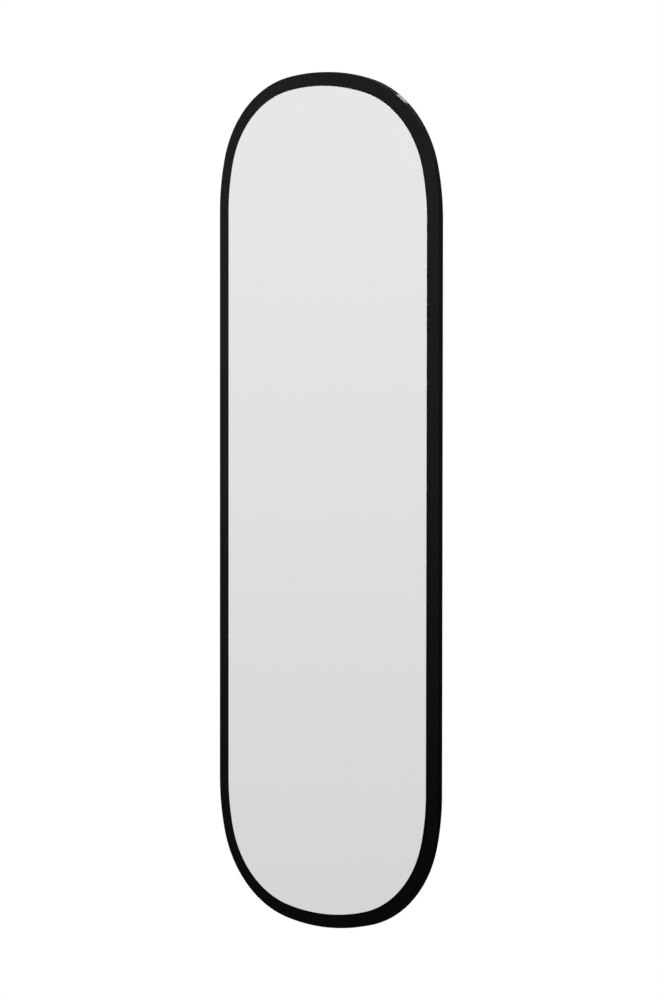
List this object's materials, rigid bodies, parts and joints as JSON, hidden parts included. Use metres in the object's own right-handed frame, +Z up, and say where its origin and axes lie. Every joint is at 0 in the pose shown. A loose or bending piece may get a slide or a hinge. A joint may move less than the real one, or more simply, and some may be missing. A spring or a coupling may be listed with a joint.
{
  "type": "full length mirror",
  "caption": "Tall wall mirror with long rounded ends: silvered glass bonded proud of a black board that hangs by recessed keyhole plates.",
  "frame": {"origin": "midway between the two keyhole entries, on the back of the board", "axes": "+X to the right as seen from in front, +Y out of the back towards the wall, +Z up"},
  "size_m": [0.5, 0.018, 1.4998],
  "materials": {
    "black_lacquer": "sprayed black lacquer over fibreboard, nearly matt",
    "silvered_glass": "polished silvered float glass with ground edges",
    "safety_film": "thin film with a fine woven thread",
    "foam_tape": "white foam with its cells cut open",
    "mirror_adhesive": "cured grey sealant, pressed flat",
    "zinc_plate": "bright zinc on rolled and stamped steel",
    "zinc_screw": "zinc plated, slightly yellow",
    "pad_rubber": "matt dark grey"
  },
  "bodies": {
    "root": {"back_panel": "black_lacquer", "mirror_glass": "silvered_glass", "safety_film": "safety_film", "mounting_tape_1": "foam_tape", "mounting_tape_2": "foam_tape", "mounting_tape_3": "foam_tape", "mounting_tape_4": "foam_tape", "adhesive_bead_1": "mirror_adhesive", "adhesive_bead_2": "mirror_adhesive", "adhesive_bead_3": "mirror_adhesive", "hanger_plate_left": "zinc_plate", "hanger_plate_right": "zinc_plate", "hanger_screws": "zinc_screw", "wall_pad_1": "pad_rubber", "wall_pad_2": "pad_rubber", "wall_pad_3": "pad_rubber", "wall_pad_4": "pad_rubber"}
  },
  "joints": []
}
